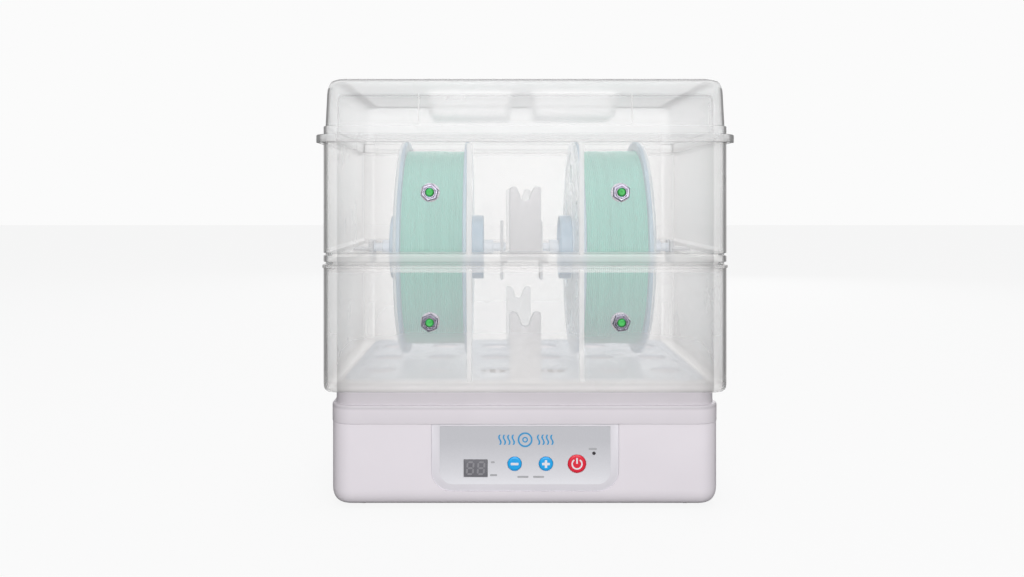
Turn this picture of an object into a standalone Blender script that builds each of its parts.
"""Filament dryer holding two filament spools: a heater base, two stacked trays, a lid and the spool gear.

Run with: blender --background --python part.py
Frame: metres, +Z up, the front faces -Y, and the origin is under the middle of the feet.
"""

import math

import bmesh
import bpy

MM = 0.001
GAP = 0.3 * MM

# Heights of the stack
FOOT_HEIGHT = 2.0 * MM
TUB_BOTTOM = 2.3 * MM
TUB_TOP = 70.1 * MM
COVER_BOTTOM = 70.5 * MM
SHOULDER_TOP = 85.5 * MM
DECK_TOP = 94.0 * MM
NECK_TOP = 101.2 * MM
LOWER_TRAY_Z = 101.5 * MM
TRAY_PITCH = 104.0 * MM
TRAY_HEIGHT = 101.0 * MM
UPPER_TRAY_Z = LOWER_TRAY_Z + TRAY_PITCH
LID_REST = UPPER_TRAY_Z + TRAY_HEIGHT + GAP
LID_TOP = 357.5 * MM

# Half sizes in X and Y
TRAY_HALF = (168.0 * MM, 120.0 * MM)
TRAY_WALL = 2.0 * MM
TRAY_CORNER = 13.0 * MM
LEDGE_HALF = (146.0 * MM, 104.0 * MM)
LEDGE_THICK = 3.0 * MM
TUB_HALF = (162.4 * MM, 112.0 * MM)
COVER_HALF = (162.8 * MM, 112.6 * MM)
NECK_HALF = (159.4 * MM, 109.3 * MM)
BASE_CORNER = 18.0 * MM
BASE_WALL = 2.5 * MM
TUB_FOOT_RADIUS = 13.0 * MM
TRAY_APRON = 4.3 * MM

# Spools and what carries them
SPOOL_Z = 211.5 * MM
SPOOL_RADIUS = 100.0 * MM
SPOOL_HALF_WIDTH = 32.4 * MM
SPOOL_X = {"left": -79.2 * MM, "right": 79.2 * MM}
SPOOL_BORE = 26.5 * MM
SPINDLE_RADIUS = 4.0 * MM
SPINDLE_ENDS = (14.5 * MM, 145.4 * MM)
COLLAR_RADIUS = 6.8 * MM
ADAPTER_RADIUS = 30.0 * MM
ADAPTER_PROUD = 11.0 * MM

# Filament outlets in the front wall of each tray
OUTLET_X = 78.5 * MM
OUTLET_ABOVE_TRAY = {"lower": 54.3 * MM, "upper": 57.0 * MM}

# Control panel on the front of the tub
PANEL_FRONT = -TUB_HALF[1] + 0.4 * MM
PANEL_Z = (20.2 * MM, 68.2 * MM)
PANEL_HALF_X = 70.7 * MM
BEZEL_HALF_X = 77.7 * MM
BEZEL_BORDER = 5.5 * MM
BUTTON_Z = 37.2 * MM
BUTTONS = {"minus": (-8.7 * MM, 5.8 * MM), "plus": (17.3 * MM, 5.8 * MM), "power": (43.1 * MM, 7.5 * MM)}
DISPLAY = (-41.1 * MM, 33.5 * MM, 10.0 * MM, 7.4 * MM)
INDICATOR = (57.2 * MM, 45.9 * MM, 1.3 * MM)

CORNER_STEPS = 4
FAN_Y = 6.0 * MM

SIDES = {"left": -1, "right": 1}
ENDS = {"front": -1, "rear": 1}


# ---------------------------------------------------------------- scene, materials and basic shapes

def clear_scene():
    for obj in list(bpy.data.objects):
        bpy.data.objects.remove(obj, do_unlink=True)


def new_collection(name):
    collection = bpy.data.collections.new(name)
    bpy.context.scene.collection.children.link(collection)
    return collection


def plastic(name, colour, roughness, metallic=0.0, alpha=1.0):
    material = bpy.data.materials.new(name)
    material.use_nodes = True
    shader = material.node_tree.nodes["Principled BSDF"]
    shader.inputs["Base Color"].default_value = (*colour, 1.0)
    shader.inputs["Roughness"].default_value = roughness
    shader.inputs["Metallic"].default_value = metallic
    shader.inputs["Alpha"].default_value = alpha
    return material


def make_materials():
    return {
        "base_white": plastic("base_white", (0.78, 0.75, 0.78), 0.4),
        "clear_tray": plastic("clear_tray", (0.86, 0.87, 0.88), 0.3, alpha=0.35),
        "holder_white": plastic("holder_white", (0.8, 0.8, 0.8), 0.5),
        "spool_blue": plastic("spool_blue", (0.55, 0.68, 0.8), 0.3, alpha=0.6),
        "filament_mint": plastic("filament_mint", (0.35, 0.66, 0.58), 0.4),
        "steel": plastic("steel", (0.62, 0.62, 0.64), 0.25, metallic=1.0),
        "plug_green": plastic("plug_green", (0.08, 0.6, 0.15), 0.4),
        "panel_silver": plastic("panel_silver", (0.6, 0.6, 0.63), 0.35),
        "button_blue": plastic("button_blue", (0.05, 0.45, 0.85), 0.4),
        "button_red": plastic("button_red", (0.8, 0.03, 0.06), 0.4),
        "dark_lens": plastic("dark_lens", (0.12, 0.12, 0.12), 0.2),
        "rubber": plastic("rubber", (0.05, 0.05, 0.05), 0.8),
        "board_green": plastic("board_green", (0.02, 0.25, 0.1), 0.5),
        "fan_black": plastic("fan_black", (0.03, 0.03, 0.03), 0.5),
        "mica": plastic("mica", (0.5, 0.42, 0.3), 0.7),
    }


def add_object(name, bm, helper=False):
    """Turns a bmesh into a named object: a part, or a hidden cutter or joined-on shape."""
    bm.normal_update()
    bmesh.ops.recalc_face_normals(bm, faces=bm.faces)
    mesh = bpy.data.meshes.new(name)
    bm.to_mesh(mesh)
    bm.free()
    obj = bpy.data.objects.new(name, mesh)
    (HELPERS if helper else PARTS).objects.link(obj)
    if helper:
        obj.hide_render = True
        obj.display_type = "WIRE"
    return obj


def bevel_edges(bm, edges, width, steps):
    if width > 0 and edges:
        bmesh.ops.bevel(bm, geom=edges, offset=width, offset_type="OFFSET", segments=steps,
                        profile=0.5, affect="EDGES", clamp_overlap=True)


def slab(low, high, corner=0.0, low_rim=0.0, high_rim=0.0, inset=0.0, steps=CORNER_STEPS):
    """A box between two corners. Its upright edges, and its lower and upper rims, can be rounded,
    and its top can be drawn in by inset on every side."""
    bm = bmesh.new()
    bmesh.ops.create_cube(bm, size=1.0)
    for vert in bm.verts:
        at_top = vert.co.z > 0
        for axis in range(3):
            vert.co[axis] = high[axis] if vert.co[axis] > 0 else low[axis]
        if at_top and inset:
            vert.co.x -= math.copysign(inset, vert.co.x - (low[0] + high[0]) / 2)
            vert.co.y -= math.copysign(inset, vert.co.y - (low[1] + high[1]) / 2)
    upright = [e for e in bm.edges if abs(e.verts[0].co.z - e.verts[1].co.z) > (high[2] - low[2]) / 2]
    bevel_edges(bm, upright, corner, steps)
    for level, width in ((low[2], low_rim), (high[2], high_rim)):
        rim = [e for e in bm.edges if all(abs(v.co.z - level) < 1e-6 for v in e.verts)]
        bevel_edges(bm, rim, width, max(2, steps - 1))
    return bm


def centred_slab(half, z_low, z_high, **rounding):
    return slab((-half[0], -half[1], z_low), (half[0], half[1], z_high), **rounding)


def faced_slab(x_centre, half_x, z_low, z_high, y_low, y_high, low_corner, high_corner):
    """A plate facing the front, whose lower and upper corners have their own radii."""
    bm = slab((x_centre - half_x, y_low, z_low), (x_centre + half_x, y_high, z_high))
    for level, width in ((z_low, low_corner), (z_high, high_corner)):
        along_y = [e for e in bm.edges if abs(e.verts[0].co.y - e.verts[1].co.y) > (y_high - y_low) / 2
                   and abs(e.verts[0].co.z - level) < 1e-6]
        bevel_edges(bm, along_y, width, CORNER_STEPS)
    return bm


def rod(start, end, radius, sides=16, end_radius=None):
    """A cylinder or cone along X, Y or Z, from start to end."""
    bm = bmesh.new()
    length = math.dist(start, end)
    far_radius = radius if end_radius is None else end_radius
    bmesh.ops.create_cone(bm, cap_ends=True, segments=sides, radius1=radius, radius2=far_radius, depth=length)
    axis = max(range(3), key=lambda i: abs(end[i] - start[i]))
    forward = end[axis] > start[axis]
    way = 1 if forward else -1
    for vert in bm.verts:
        x, y, z = vert.co
        vert.co = {0: (way * z, y, -way * x), 1: (x, way * z, -way * y), 2: (x, way * y, way * z)}[axis]
        for i in range(3):
            vert.co[i] += (start[i] + end[i]) / 2
    return bm


def part(name, bm, material):
    obj = add_object(name, bm)
    return finish(obj, material)


def finish(obj, material):
    obj.data.materials.append(MATERIALS[material])
    obj.data.shade_smooth()
    obj.data.set_sharp_from_angle(angle=math.radians(35))
    return obj


def boolean(obj, bm, operation):
    helper = add_object(f"{obj.name}_{operation.lower()}_{len(obj.modifiers)}", bm, helper=True)
    modifier = obj.modifiers.new(operation.title(), "BOOLEAN")
    modifier.operation = operation
    modifier.solver = "EXACT"
    modifier.object = helper


def cut(obj, *shapes):
    for bm in shapes:
        boolean(obj, bm, "DIFFERENCE")


def join(obj, *shapes):
    for bm in shapes:
        boolean(obj, bm, "UNION")


def turned(name, profile, centre, axis_sign, material, steps, closed=True):
    """Turns a profile of (radius, height) points about X. Height runs along +X or, with axis_sign -1, -X.
    The profile runs down its outer side."""
    mesh = bpy.data.meshes.new(name)
    points = [(radius, 0.0, height) for radius, height in profile]
    edges = [(i, i + 1) for i in range(len(points) - 1)]
    if closed:
        edges.append((len(points) - 1, 0))
    mesh.from_pydata(points, edges, [])
    obj = bpy.data.objects.new(name, mesh)
    PARTS.objects.link(obj)
    screw = obj.modifiers.new("Turn", "SCREW")
    screw.axis = "Z"
    screw.angle = math.tau
    screw.steps = screw.render_steps = steps
    screw.use_merge_vertices = True
    screw.merge_threshold = 1e-5
    screw.use_smooth_shade = True
    obj.location = centre
    obj.rotation_euler = (0.0, axis_sign * math.pi / 2, 0.0)
    obj.data.materials.append(MATERIALS[material])
    return obj


# ---------------------------------------------------------------- heater base

def make_tub():
    """The lower half of the base: floor, walls, fan pillars, screw bosses, air inlet and panel window."""
    tub = add_object("base_bottom_shell", centred_slab(TUB_HALF, TUB_BOTTOM, TUB_TOP, corner=BASE_CORNER,
                                                       low_rim=TUB_FOOT_RADIUS))
    inner = (TUB_HALF[0] - BASE_WALL, TUB_HALF[1] - BASE_WALL)
    cut(tub, centred_slab(inner, TUB_BOTTOM + BASE_WALL, TUB_TOP + 5 * MM, corner=BASE_CORNER - BASE_WALL,
                          low_rim=TUB_FOOT_RADIUS - BASE_WALL))
    for x, y in FAN_PILLARS:
        join(tub, rod((x, y, TUB_BOTTOM + 1 * MM), (x, y, FAN_Z[0] - GAP), 4 * MM, 8))
    for x, y in SCREW_PLACES:
        join(tub, rod((x, y, TUB_BOTTOM + 1 * MM), (x, y, SCREW_BOSS_TOP), 6 * MM, 12))
        cut(tub, rod((x, y, 0.0), (x, y, SCREW_SEAT), 4.5 * MM, 12),
            rod((x, y, 0.0), (x, y, SCREW_BOSS_TOP + 5 * MM), 2.4 * MM, 12))
    for i in range(-4, 5):
        x = i * 9 * MM
        half_length = 34 * MM - abs(i) * 4 * MM
        cut(tub, slab((x - 2 * MM, FAN_Y - half_length, 0.0), (x + 2 * MM, FAN_Y + half_length, 10 * MM)))
    cut(tub, faced_slab(0.0, BEZEL_HALF_X + GAP, PANEL_Z[0] - BEZEL_BORDER - GAP, TUB_TOP + 10 * MM,
                        -TUB_HALF[1] - 5 * MM, -TUB_HALF[1] + 8 * MM, 17.3 * MM, 0.0))
    cut(tub, slab((INLET_X - INLET_HALF[0] - GAP, TUB_HALF[1] - 8 * MM, INLET_Z - INLET_HALF[1] - GAP),
                  (INLET_X + INLET_HALF[0] + GAP, TUB_HALF[1] + 5 * MM, INLET_Z + INLET_HALF[1] + GAP)))
    finish(tub, "base_white")


FAN_HALF = 46 * MM
FAN_Z = (24 * MM, 49 * MM)
FAN_PILLARS = [(sx * 40 * MM, FAN_Y + sy * 40 * MM) for sx in (-1, 1) for sy in (-1, 1)]
SCREW_PLACES = [(sx * 118 * MM, sy * 82 * MM) for sx in (-1, 1) for sy in (-1, 1)]
SCREW_SEAT = 9 * MM
SCREW_BOSS_TOP = 16 * MM
INLET_X, INLET_Z = 105 * MM, 34 * MM
INLET_HALF = (12 * MM, 8 * MM)


def make_cover():
    """The upper half of the base: the shoulder, the neck the tray sits on, and the deck with the air outlet."""
    cover = add_object("base_top_cover", centred_slab(COVER_HALF, COVER_BOTTOM, SHOULDER_TOP,
                                                      corner=BASE_CORNER + 1 * MM, high_rim=3.5 * MM))
    join(cover, centred_slab(NECK_HALF, SHOULDER_TOP - 8 * MM, NECK_TOP, corner=BASE_CORNER - 4 * MM))
    under = (NECK_HALF[0] - BASE_WALL, NECK_HALF[1] - BASE_WALL)
    skirt_inner = (COVER_HALF[0] - BASE_WALL, COVER_HALF[1] - BASE_WALL)
    cut(cover,
        centred_slab(skirt_inner, COVER_BOTTOM - 5 * MM, SHOULDER_TOP - BASE_WALL, corner=BASE_CORNER - 1.5 * MM),
        centred_slab(under, COVER_BOTTOM - 5 * MM, DECK_TOP - BASE_WALL, corner=BASE_CORNER - 6.5 * MM),
        centred_slab(under, DECK_TOP, NECK_TOP + 5 * MM, corner=BASE_CORNER - 6.5 * MM))
    cut(cover, centred_slab((OUTLET_HALF[0], OUTLET_HALF[1]), DECK_TOP - 8 * MM, DECK_TOP + 8 * MM, corner=6 * MM))
    for x, y in SCREW_PLACES:
        join(cover, rod((x, y, SCREW_BOSS_TOP + GAP), (x, y, DECK_TOP - 1 * MM), 5 * MM, 12))
        cut(cover, rod((x, y, 0.0), (x, y, SCREW_BOSS_TOP + 22 * MM), 2.3 * MM, 12))
    finish(cover, "base_white")


OUTLET_HALF = (60 * MM, 44 * MM)


def make_outlet_grille():
    half = (OUTLET_HALF[0] + 4 * MM, OUTLET_HALF[1] + 4 * MM)
    grille = add_object("air_outlet_grille", centred_slab(half, DECK_TOP + GAP, DECK_TOP + 2.3 * MM, corner=7 * MM))
    for i in range(-6, 7):
        x = i * 9 * MM
        cut(grille, slab((x - 2.6 * MM, -38 * MM, DECK_TOP - 5 * MM), (x + 2.6 * MM, 38 * MM, DECK_TOP + 9 * MM)))
    finish(grille, "base_white")


def make_feet_and_screws():
    for (x, y), place in zip(SCREW_PLACES, CORNER_NAMES):
        foot_x, foot_y = math.copysign(136 * MM, x), math.copysign(90 * MM, y)
        part(f"foot_{place}", rod((foot_x, foot_y, 0.0), (foot_x, foot_y, FOOT_HEIGHT), 8.2 * MM, 24,
                                  end_radius=9 * MM), "rubber")
        screw = add_object(f"base_screw_{place}", rod((x, y, SCREW_SEAT - 2.4 * MM), (x, y, SCREW_SEAT - GAP),
                                                      3.6 * MM, 12))
        join(screw, rod((x, y, SCREW_SEAT - 1 * MM), (x, y, SCREW_BOSS_TOP + 12 * MM), 1.9 * MM, 12))
        cut(screw, slab((x - 2.6 * MM, y - 0.4 * MM, 0.0), (x + 2.6 * MM, y + 0.4 * MM, SCREW_SEAT - 1.4 * MM)),
            slab((x - 0.4 * MM, y - 2.6 * MM, 0.0), (x + 0.4 * MM, y + 2.6 * MM, SCREW_SEAT - 1.4 * MM)))
        finish(screw, "steel")


CORNER_NAMES = ("front_left", "rear_left", "front_right", "rear_right")


def make_fan():
    """A square axial fan under the heater, and its rotor of seven slanted blades."""
    frame = add_object("fan_housing", slab((-FAN_HALF, FAN_Y - FAN_HALF, FAN_Z[0]),
                                           (FAN_HALF, FAN_Y + FAN_HALF, FAN_Z[1]), corner=5 * MM, steps=2))
    cut(frame, rod((0.0, FAN_Y, FAN_Z[0] - 5 * MM), (0.0, FAN_Y, FAN_Z[1] + 5 * MM), FAN_BORE, 32))
    strut_z = (FAN_Z[0] + 0.5 * MM, FAN_Z[0] + 3.5 * MM)
    join(frame, rod((0.0, FAN_Y, strut_z[0]), (0.0, FAN_Y, strut_z[1]), 15 * MM, 20),
         slab((-FAN_BORE - 1 * MM, FAN_Y - 2 * MM, strut_z[0]), (FAN_BORE + 1 * MM, FAN_Y + 2 * MM, strut_z[1])),
         slab((-2 * MM, FAN_Y - FAN_BORE - 1 * MM, strut_z[0]), (2 * MM, FAN_Y + FAN_BORE + 1 * MM, strut_z[1])))
    finish(frame, "fan_black")

    rotor = add_object("fan_rotor", rod((0.0, FAN_Y, FAN_Z[0] + 4.5 * MM), (0.0, FAN_Y, FAN_Z[1] - 2 * MM),
                                        15 * MM, 20))
    blades = 7
    for i in range(blades):
        bm = slab((12 * MM, -9 * MM, -0.8 * MM), (FAN_BORE - 1.5 * MM, 9 * MM, 0.8 * MM))
        pitch, turn = math.radians(38), i * math.tau / blades
        for vert in bm.verts:
            x, y, z = vert.co
            y, z = y * math.cos(pitch) - z * math.sin(pitch), y * math.sin(pitch) + z * math.cos(pitch)
            vert.co = (x * math.cos(turn) - y * math.sin(turn),
                       x * math.sin(turn) + y * math.cos(turn) + FAN_Y,
                       z + (FAN_Z[0] + FAN_Z[1]) / 2 + 1.5 * MM)
        join(rotor, bm)
    finish(rotor, "fan_black")


FAN_BORE = 42 * MM
HEATER_Z = (FAN_Z[1] + GAP, 66 * MM)
HEATER_RADIUS = 45 * MM


def make_heater():
    """A mica ring with two cross bars, and the wire that runs to and fro over them."""
    ring = add_object("heater_frame", rod((0.0, FAN_Y, HEATER_Z[0]), (0.0, FAN_Y, HEATER_Z[1]), HEATER_RADIUS, 32))
    inner = HEATER_RADIUS - 2 * MM
    cut(ring, rod((0.0, FAN_Y, 0.0), (0.0, FAN_Y, HEATER_Z[1] + 5 * MM), inner, 32))
    for x in (-16 * MM, 16 * MM):
        reach = math.sqrt(inner ** 2 - x ** 2) + 0.6 * MM
        join(ring, slab((x - 1.5 * MM, FAN_Y - reach, HEATER_Z[0] + 3 * MM),
                        (x + 1.5 * MM, FAN_Y + reach, HEATER_Z[0] + 7 * MM)))
    finish(ring, "mica")

    wire_z = HEATER_Z[0] + 7 * MM + GAP + HEATER_WIRE
    rows = 7
    curve = bpy.data.curves.new("heater_coil", "CURVE")
    curve.dimensions = "3D"
    curve.bevel_depth = HEATER_WIRE
    curve.bevel_resolution = 2
    curve.use_fill_caps = True
    spline = curve.splines.new("POLY")
    points = []
    for i in range(rows):
        y = (i - (rows - 1) / 2) * 10 * MM
        reach = math.sqrt((HEATER_RADIUS - 6 * MM) ** 2 - y ** 2)
        ends = (-reach, reach) if i % 2 == 0 else (reach, -reach)
        points += [(ends[0], y + FAN_Y, wire_z), (ends[1], y + FAN_Y, wire_z)]
    spline.points.add(len(points) - 1)
    for point, place in zip(spline.points, points):
        point.co = (*place, 1.0)
    coil = bpy.data.objects.new("heater_coil", curve)
    curve.materials.append(MATERIALS["steel"])
    PARTS.objects.link(coil)


HEATER_WIRE = 1.6 * MM


def make_inlet():
    """Two-pin mains inlet in the rear wall of the tub."""
    back = TUB_HALF[1]
    inlet = add_object("power_inlet", slab((INLET_X - INLET_HALF[0], back - 16 * MM, INLET_Z - INLET_HALF[1]),
                                           (INLET_X + INLET_HALF[0], back + 1 * MM, INLET_Z + INLET_HALF[1])))
    join(inlet, slab((INLET_X - 15 * MM, back + GAP, INLET_Z - 10.5 * MM),
                     (INLET_X + 15 * MM, back + 2.3 * MM, INLET_Z + 10.5 * MM)))
    cut(inlet, slab((INLET_X - 8.5 * MM, back - 12 * MM, INLET_Z - 4.5 * MM),
                    (INLET_X + 8.5 * MM, back + 9 * MM, INLET_Z + 4.5 * MM)))
    for sign in SIDES.values():
        x = INLET_X + sign * 4.3 * MM
        join(inlet, rod((x, back - 14 * MM, INLET_Z), (x, back - 1 * MM, INLET_Z), 1.2 * MM, 10))
    finish(inlet, "fan_black")


# ---------------------------------------------------------------- control panel

def through_panel(x, z, radius, sides=24):
    return rod((x, PANEL_FRONT - 5 * MM, z), (x, PANEL_FRONT + 20 * MM, z), radius, sides)


def display_opening(extra):
    x, z, half_x, half_z = DISPLAY
    return slab((x - half_x - extra, PANEL_FRONT - 5 * MM, z - half_z - extra),
                (x + half_x + extra, PANEL_FRONT + 20 * MM, z + half_z + extra))


def make_panel():
    """A white bezel let into the tub, a silver overlay in it, the display and three push buttons."""
    low, high = PANEL_Z
    bezel = add_object("panel_bezel", faced_slab(0.0, BEZEL_HALF_X, low - BEZEL_BORDER, TUB_TOP - GAP,
                                                 PANEL_FRONT + 0.3 * MM, PANEL_FRONT + 5 * MM, 17 * MM, 1 * MM))
    cut(bezel, faced_slab(0.0, PANEL_HALF_X + GAP, low - GAP, high + GAP,
                          PANEL_FRONT - 6 * MM, PANEL_FRONT + 1.5 * MM, 10.8 * MM, 0.5 * MM))
    overlay = add_object("panel_overlay", faced_slab(0.0, PANEL_HALF_X, low, high, PANEL_FRONT,
                                                     PANEL_FRONT + 1.2 * MM, 10.5 * MM, 0.5 * MM))
    for panel in (bezel, overlay):
        cut(panel, display_opening(0.0), through_panel(INDICATOR[0], INDICATOR[1], INDICATOR[2] + GAP, 12))
        for x, radius in BUTTONS.values():
            cut(panel, through_panel(x, BUTTON_Z, radius + GAP))
    finish(bezel, "base_white")
    finish(overlay, "panel_silver")

    for name, (x, radius) in BUTTONS.items():
        button = add_object(f"button_{name}", rod((x, PANEL_FRONT + 9 * MM, BUTTON_Z),
                                                  (x, PANEL_FRONT - 0.7 * MM, BUTTON_Z), radius, 28))
        join(button, rod((x, PANEL_FRONT + 9.5 * MM, BUTTON_Z), (x, PANEL_FRONT + 7.5 * MM, BUTTON_Z),
                         radius + 1.2 * MM, 28))
        finish(button, "button_red" if name == "power" else "button_blue")

    x, z, half_x, half_z = DISPLAY
    part("display_window", slab((x - half_x + GAP, PANEL_FRONT + 0.2 * MM, z - half_z + GAP),
                                (x + half_x - GAP, BOARD_Y - GAP, z + half_z - GAP)), "dark_lens")
    board = add_object("control_board", slab((-64 * MM, BOARD_Y, 22.5 * MM), (66 * MM, BOARD_Y + 1.6 * MM, 63.5 * MM)))
    for x, _ in BUTTONS.values():
        join(board, slab((x - 3 * MM, PANEL_FRONT + 11 * MM, BUTTON_Z - 3 * MM),
                         (x + 3 * MM, BOARD_Y + 1 * MM, BUTTON_Z + 3 * MM)))
    join(board, rod((INDICATOR[0], BOARD_Y + 1 * MM, INDICATOR[1]),
                    (INDICATOR[0], PANEL_FRONT + 0.4 * MM, INDICATOR[1]), INDICATOR[2], 12))
    finish(board, "board_green")


BOARD_Y = PANEL_FRONT + 15 * MM


# ---------------------------------------------------------------- trays, lid and holders

def make_tray(name, z):
    """An open frame with a ledge round its foot. The lower one drops over and into the base's neck, and the
    upper one into the tray below it."""
    nests_in_tray = name == "upper"
    half_x, half_y = TRAY_HALF
    foot, foot_radius = (z, 1 * MM) if nests_in_tray else (z - TRAY_APRON, 9 * MM)
    tray = add_object(f"{name}_tray", centred_slab(TRAY_HALF, foot, z + TRAY_HEIGHT, corner=TRAY_CORNER,
                                                   low_rim=foot_radius))
    join(tray, centred_slab((half_x + 1 * MM, half_y + 1 * MM), z + TRAY_HEIGHT - 2.5 * MM, z + TRAY_HEIGHT - 1e-5,
                            corner=TRAY_CORNER + 1 * MM))
    inner = (half_x - TRAY_WALL, half_y - TRAY_WALL)
    if nests_in_tray:
        nest = (inner[0] - 0.6 * MM, inner[1] - 0.6 * MM)
        join(tray,
             centred_slab((half_x - 1.8 * MM, half_y - 1.8 * MM), z - 2.7 * MM, z + 1.5 * MM,
                          corner=TRAY_CORNER - 1.8 * MM),
             centred_slab(nest, z - 9 * MM, z + 1 * MM, corner=TRAY_CORNER - 2.6 * MM))
        cut(tray, centred_slab((nest[0] - 2.2 * MM, nest[1] - 2.2 * MM), z - 15 * MM, z, corner=TRAY_CORNER - 4.8 * MM))
    else:
        skirt = (NECK_HALF[0] - BASE_WALL - 0.5 * MM, NECK_HALF[1] - BASE_WALL - 0.5 * MM)
        cut(tray, centred_slab((NECK_HALF[0] + GAP, NECK_HALF[1] + GAP), z - 20 * MM, z,
                               corner=BASE_CORNER - 4 * MM + GAP))
        join(tray, centred_slab(skirt, z - 4.5 * MM, z + 1 * MM, corner=BASE_CORNER - 7 * MM))
        cut(tray, centred_slab((skirt[0] - TRAY_WALL, skirt[1] - TRAY_WALL), z - 15 * MM, z,
                               corner=BASE_CORNER - 9 * MM))
    cut(tray,
        centred_slab(inner, z + LEDGE_THICK, z + TRAY_HEIGHT + 5 * MM, corner=TRAY_CORNER - TRAY_WALL),
        centred_slab(LEDGE_HALF, z - 20 * MM, z + 20 * MM, corner=10 * MM))
    for sign in SIDES.values():
        rib_x = sign * 46.2 * MM
        join(tray, slab((rib_x - 1.6 * MM, -half_y - 0.9 * MM, z + 4 * MM),
                        (rib_x + 1.6 * MM, -half_y + 1 * MM, z + TRAY_HEIGHT - 3 * MM)))
        outlet = (sign * OUTLET_X, z + OUTLET_ABOVE_TRAY[name])
        cut(tray, rod((outlet[0], -half_y - 9 * MM, outlet[1]), (outlet[0], -half_y + 9 * MM, outlet[1]),
                      5.2 * MM, 20))
    finish(tray, "clear_tray")


def make_vent_floor():
    """The removable floor of the lower tray, with rows of round air holes."""
    z = LOWER_TRAY_Z + LEDGE_THICK + GAP
    floor = add_object("vent_floor", centred_slab((LEDGE_HALF[0] + 5.5 * MM, LEDGE_HALF[1] + 2.7 * MM), z, z + 2 * MM,
                                                  corner=12 * MM))
    for i in range(6):
        for y in (-66 * MM, 0.0, 66 * MM):
            x = (i - 2.5) * 50 * MM
            cut(floor, rod((x, y, z - 5 * MM), (x, y, z + 5 * MM), 13 * MM, 12))
    finish(floor, "clear_tray")


def make_post(tray_name, tray_z, end, sign):
    """A post on the ledge with an open notch for a shaft that runs from front to rear."""
    z = tray_z + LEDGE_THICK + GAP
    top = tray_z + POST_TOP
    near, far = sorted((sign * 107.4 * MM, sign * 117.2 * MM))
    post = add_object(f"shaft_post_{tray_name}_{end}", slab((-13 * MM, near, z), (13 * MM, far, top),
                                                            corner=1.5 * MM, steps=2))
    notch = top - 12 * MM + NOTCH_RADIUS
    cut(post, rod((0.0, near - 5 * MM, notch), (0.0, far + 5 * MM, notch), NOTCH_RADIUS, 20),
        slab((-NOTCH_RADIUS * 0.995, near - 5 * MM, notch), (NOTCH_RADIUS * 0.995, far + 5 * MM, top + 5 * MM)),
        mouth(top, near - 5 * MM, far + 5 * MM))
    finish(post, "holder_white")


POST_TOP = 62 * MM
NOTCH_RADIUS = 4.2 * MM


def mouth(top, y_low, y_high):
    """A wedge that flares the top of a notch: narrow below, wide above."""
    bm = slab((-4 * MM, y_low, top - 5 * MM), (4 * MM, y_high, top + 3 * MM))
    for vert in bm.verts:
        if vert.co.z > top:
            vert.co.x *= 2.4
    return bm


def fork(x_low, x_high, z_low, z_high):
    """An upright plate with a notch open at the top, for a spindle along X."""
    return slab((x_low, -14 * MM, z_low), (x_high, 14 * MM, z_high))


def spindle_notch(x_low, x_high):
    radius = SPINDLE_RADIUS + GAP
    return (rod((x_low, 0.0, SPOOL_Z), (x_high, 0.0, SPOOL_Z), radius, 20),
            slab((x_low, -radius * 0.995, SPOOL_Z), (x_high, radius * 0.995, SPOOL_Z + 60 * MM)))


def make_bridge():
    """Two rails across the upper tray, hooked over its ledge, with a fork on each for a spindle's inner end."""
    ledge_top = UPPER_TRAY_Z + LEDGE_THICK
    rail_z = (ledge_top - 5.4 * MM, ledge_top - 1.6 * MM)
    web = slab((-18 * MM, -3 * MM, rail_z[0] - 4 * MM), (18 * MM, 3 * MM, rail_z[1]))
    bridge = add_object("centre_bridge", web)
    for side in SIDES.values():
        low, high = sorted((side * 14.5 * MM, side * 19.5 * MM))
        join(bridge, slab((low, -102.4 * MM, rail_z[0]), (high, 102.4 * MM, rail_z[1] - 1e-4)))
        fork_low, fork_high = sorted((side * 17 * MM, side * 20 * MM))
        join(bridge, fork(fork_low, fork_high, SPOOL_Z - 30 * MM, SPOOL_Z + 25 * MM))
        for end in ENDS.values():
            near, far = sorted((end * 99.4 * MM, end * 102.4 * MM))
            join(bridge, slab((low, near, rail_z[0] + 1e-4), (high, far, ledge_top + 3 * MM)))
            near, far = sorted((end * 99.6 * MM, end * 113 * MM))
            join(bridge, slab((low + 1e-4, near, ledge_top + GAP), (high - 1e-4, far, ledge_top + 3 * MM - 1e-4)))
    cut(bridge, *spindle_notch(-30 * MM, 30 * MM))
    finish(bridge, "holder_white")


def make_saddles():
    """A plate on each side ledge of the upper tray, for a spindle's outer end."""
    ledge_top = UPPER_TRAY_Z + LEDGE_THICK
    for side, sign in SIDES.items():
        low, high = sorted((sign * 139.6 * MM, sign * 143.6 * MM))
        saddle = add_object(f"spindle_saddle_{side}", fork(low, high, SPOOL_Z - 14 * MM, SPOOL_Z + 7 * MM))
        low, high = sorted((sign * 141 * MM, sign * 158 * MM))
        join(saddle, slab((low, -13.8 * MM, ledge_top + GAP), (high, 13.8 * MM, ledge_top + 3 * MM)))
        low, high = sorted((sign * 130 * MM, sign * 147.4 * MM))
        cut(saddle, *spindle_notch(low, high))
        finish(saddle, "holder_white")


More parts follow.
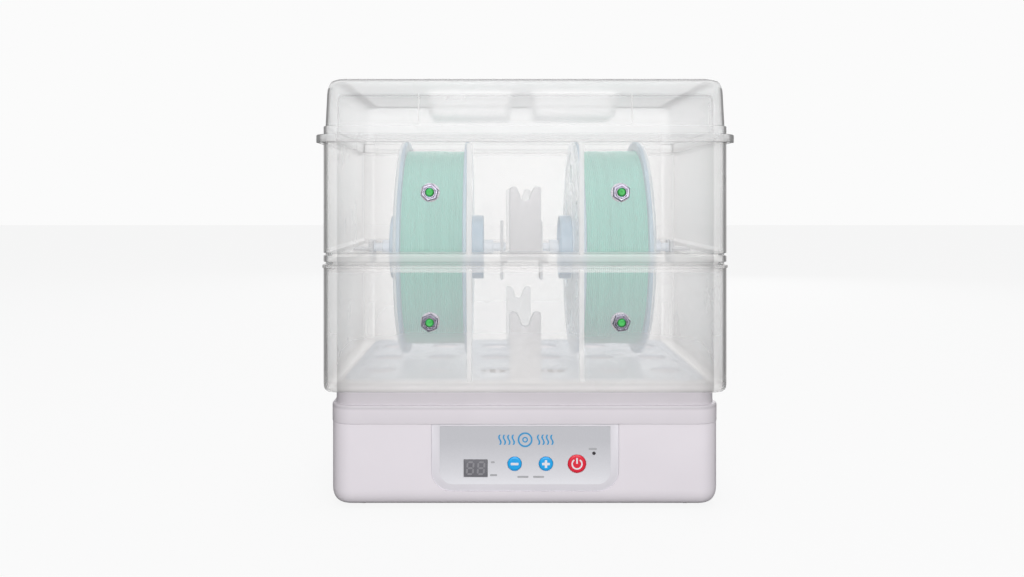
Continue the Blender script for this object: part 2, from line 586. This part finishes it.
def make_outlet(tray_name, tray_z, side, sign):
    """A threaded sleeve through the tray wall, its nut outside, and the green plug in it."""
    x, z = sign * OUTLET_X, tray_z + OUTLET_ABOVE_TRAY[tray_name]
    wall_out, wall_in = -TRAY_HALF[1], -TRAY_HALF[1] + TRAY_WALL
    label = f"{tray_name}_{side}"
    sleeve = add_object(f"outlet_sleeve_{label}", rod((x, wall_in + 4 * MM, z), (x, wall_out - 4.8 * MM, z),
                                                      4.9 * MM, 12))
    join(sleeve, rod((x, wall_in + 3.8 * MM, z), (x, wall_in + GAP, z), 8 * MM, 6))
    cut(sleeve, rod((x, wall_in + 9 * MM, z), (x, wall_out - 9 * MM, z), 3.7 * MM, 12))
    finish(sleeve, "steel")
    nut = add_object(f"outlet_nut_{label}", rod((x, wall_out - GAP, z), (x, wall_out - 4.2 * MM, z), 7.6 * MM, 6))
    cut(nut, rod((x, wall_out + 5 * MM, z), (x, wall_out - 9 * MM, z), 5.2 * MM, 12))
    finish(nut, "steel")
    part(f"outlet_plug_{label}", rod((x, wall_in + 5 * MM, z), (x, wall_out - 5.4 * MM, z), 3.4 * MM, 12,
                                     end_radius=3.1 * MM), "plug_green")


def make_lid():
    """A shallow dome that hooks over the upper tray's rim, with two finger pockets in its top."""
    half_x, half_y = TRAY_HALF
    flange_top = LID_REST + 3.7 * MM
    skirt_top = flange_top + 7 * MM
    lid = add_object("lid", centred_slab((half_x + 6 * MM, half_y + 6 * MM), LID_REST - 2.8 * MM, flange_top,
                                         corner=TRAY_CORNER + 6 * MM, high_rim=1.2 * MM))
    join(lid, centred_slab((half_x, half_y), flange_top - 2 * MM, skirt_top, corner=TRAY_CORNER),
         centred_slab((half_x - 1.6 * MM, half_y - 1.6 * MM), flange_top - 1 * MM, LID_TOP,
                      corner=TRAY_CORNER, high_rim=14 * MM, inset=2.0 * MM))
    cut(lid, centred_slab((half_x + 3.2 * MM, half_y + 3.2 * MM), LID_REST - 9 * MM, LID_REST,
                          corner=TRAY_CORNER + 3.2 * MM),
        centred_slab((half_x - 2 * MM, half_y - 2 * MM), LID_REST - 5 * MM, skirt_top - 2 * MM,
                     corner=TRAY_CORNER - 2 * MM),
        centred_slab((half_x - 3.8 * MM, half_y - 3.8 * MM), LID_REST - 1 * MM, LID_TOP - TRAY_WALL,
                     corner=TRAY_CORNER - 2 * MM, high_rim=12.5 * MM, inset=2.0 * MM))
    for sign in SIDES.values():
        low, high = sorted((sign * 6.5 * MM, sign * 90 * MM))
        join(lid, pocket(low, high, 38 * MM, POCKET_FLOOR - TRAY_WALL, LID_TOP - 0.5 * MM))
    for sign in SIDES.values():
        low, high = sorted((sign * 8.5 * MM, sign * 88 * MM))
        cut(lid, pocket(low, high, 36 * MM, POCKET_FLOOR, LID_TOP + 1.5 * MM))
    finish(lid, "clear_tray")


POCKET_FLOOR = 334.0 * MM


def pocket(x_low, x_high, half_y, z_low, z_high):
    """A tub shape that narrows towards its floor."""
    bm = slab((x_low, -half_y, z_low), (x_high, half_y, z_high))
    middle = (x_low + x_high) / 2
    for vert in bm.verts:
        if vert.co.z < z_low + 1e-6:
            vert.co.x -= math.copysign(4.5 * MM, vert.co.x - middle)
            vert.co.y -= math.copysign(4.5 * MM, vert.co.y)
    upright = [e for e in bm.edges if abs(e.verts[0].co.z - e.verts[1].co.z) > (z_high - z_low) / 2]
    bevel_edges(bm, upright, 8 * MM, 3)
    floor_rim = [e for e in bm.edges if all(abs(v.co.z - z_low) < 1e-6 for v in e.verts)]
    bevel_edges(bm, floor_rim, 4 * MM, 2)
    return bm


# ---------------------------------------------------------------- spools

def make_spool(side, sign):
    """A two-part spool full of filament, a hub adapter in each end, and the spindle through both.
    Heights in the profiles run from the spool's middle towards the outside of the dryer."""
    centre = (SPOOL_X[side], 0.0, SPOOL_Z)
    half, web, edge = SPOOL_HALF_WIDTH, SPOOL_HALF_WIDTH - 3 * MM, SPOOL_RADIUS
    barrel_out, barrel_in = 46 * MM, 43.5 * MM
    spigot_out, spigot_in = barrel_in - GAP, barrel_in - 2.5 * MM
    core = turned(f"spool_core_{side}", [
        (edge - 1 * MM, half), (edge, half - 1 * MM), (edge, web), (barrel_out, web), (barrel_out, GAP - web),
        (barrel_in, GAP - web), (barrel_in, web), (SPOOL_BORE, web), (SPOOL_BORE, half)],
        centre, sign, "spool_blue", SPOOL_STEPS)
    flange = turned(f"spool_flange_{side}", [
        (edge, -web), (edge, 1 * MM - half), (edge - 1 * MM, -half), (SPOOL_BORE, -half), (SPOOL_BORE, -web),
        (spigot_in, -web), (spigot_in, 9 * MM - web), (spigot_out, 9 * MM - web), (spigot_out, -web)],
        centre, sign, "spool_blue", SPOOL_STEPS)
    for disc in (core, flange):
        for i in range(6):
            angle = math.radians(30) + i * math.tau / 6
            y, z = 69 * MM * math.cos(angle), SPOOL_Z + 69 * MM * math.sin(angle)
            outer = centre[0] + (sign if disc is core else -sign) * half
            hole = rod((outer - 6 * MM, y, z), (outer + 6 * MM, y, z), 10 * MM, 12)
            to_local(hole, disc)
            cut_local(disc, hole)
    turned(f"filament_winding_{side}", [
        (WINDING_RADIUS, web - GAP), (WINDING_RADIUS, GAP - web), (barrel_out + GAP, GAP - web),
        (barrel_out + GAP, web - GAP)], centre, sign, "filament_mint", SPOOL_STEPS)
    for place, direction in (("outer", sign), ("inner", -sign)):
        face, tip = half + GAP, half + ADAPTER_PROUD
        turned(f"hub_adapter_{side}_{place}", [
            (ADAPTER_RADIUS, tip), (ADAPTER_RADIUS, face), (SPOOL_BORE - GAP, face), (SPOOL_BORE - GAP, 14 * MM),
            (SPINDLE_RADIUS + GAP, 14 * MM), (SPINDLE_RADIUS + GAP, tip), (9 * MM, tip), (9 * MM, 17 * MM),
            (SPOOL_BORE - 3.3 * MM, 17 * MM), (SPOOL_BORE - 3.3 * MM, face + 3 * MM),
            (ADAPTER_RADIUS - 3 * MM, face + 3 * MM), (ADAPTER_RADIUS - 3 * MM, tip)],
            centre, direction, "spool_blue", 24)
    inner_end, outer_end = SPINDLE_ENDS
    spindle = add_object(f"spindle_{side}", rod((sign * inner_end, 0.0, SPOOL_Z), (sign * outer_end, 0.0, SPOOL_Z),
                                                SPINDLE_RADIUS, 16))
    reach = half + ADAPTER_PROUD + GAP
    stop_face = abs(centre[0]) - reach
    join(spindle, rod((sign * (stop_face - 9 * MM), 0.0, SPOOL_Z), (sign * stop_face, 0.0, SPOOL_Z), COLLAR_RADIUS, 16))
    finish(spindle, "holder_white")
    collar_face = abs(centre[0]) + reach
    collar = add_object(f"spindle_collar_{side}", rod((sign * collar_face, 0.0, SPOOL_Z),
                                                      (sign * (collar_face + 9 * MM), 0.0, SPOOL_Z), COLLAR_RADIUS, 16))
    cut(collar, rod((sign * 100 * MM, 0.0, SPOOL_Z), (sign * 150 * MM, 0.0, SPOOL_Z), SPINDLE_RADIUS + GAP, 16))
    finish(collar, "holder_white")


SPOOL_STEPS = 40
WINDING_RADIUS = 91.5 * MM


def to_local(bm, obj):
    """Moves a shape from world space into an object's own space."""
    bpy.context.view_layer.update()
    bm.transform(obj.matrix_world.inverted())


def cut_local(obj, bm):
    """Cuts with a helper that sits where the object sits."""
    boolean(obj, bm, "DIFFERENCE")
    obj.modifiers[-1].solver = "MANIFOLD"
    helper = obj.modifiers[-1].object
    helper.location = obj.location
    helper.rotation_euler = obj.rotation_euler


def build():
    make_tub()
    make_cover()
    make_outlet_grille()
    make_feet_and_screws()
    make_fan()
    make_heater()
    make_inlet()
    make_panel()
    make_vent_floor()
    for name, z in (("lower", LOWER_TRAY_Z), ("upper", UPPER_TRAY_Z)):
        make_tray(name, z)
        for end, sign in ENDS.items():
            make_post(name, z, end, sign)
        for side, sign in SIDES.items():
            make_outlet(name, z, side, sign)
    make_bridge()
    make_saddles()
    make_lid()
    for side, sign in SIDES.items():
        make_spool(side, sign)


clear_scene()
PARTS = new_collection("filament_dryer")
HELPERS = new_collection("helpers")
HELPERS.hide_render = True
MATERIALS = make_materials()
build()
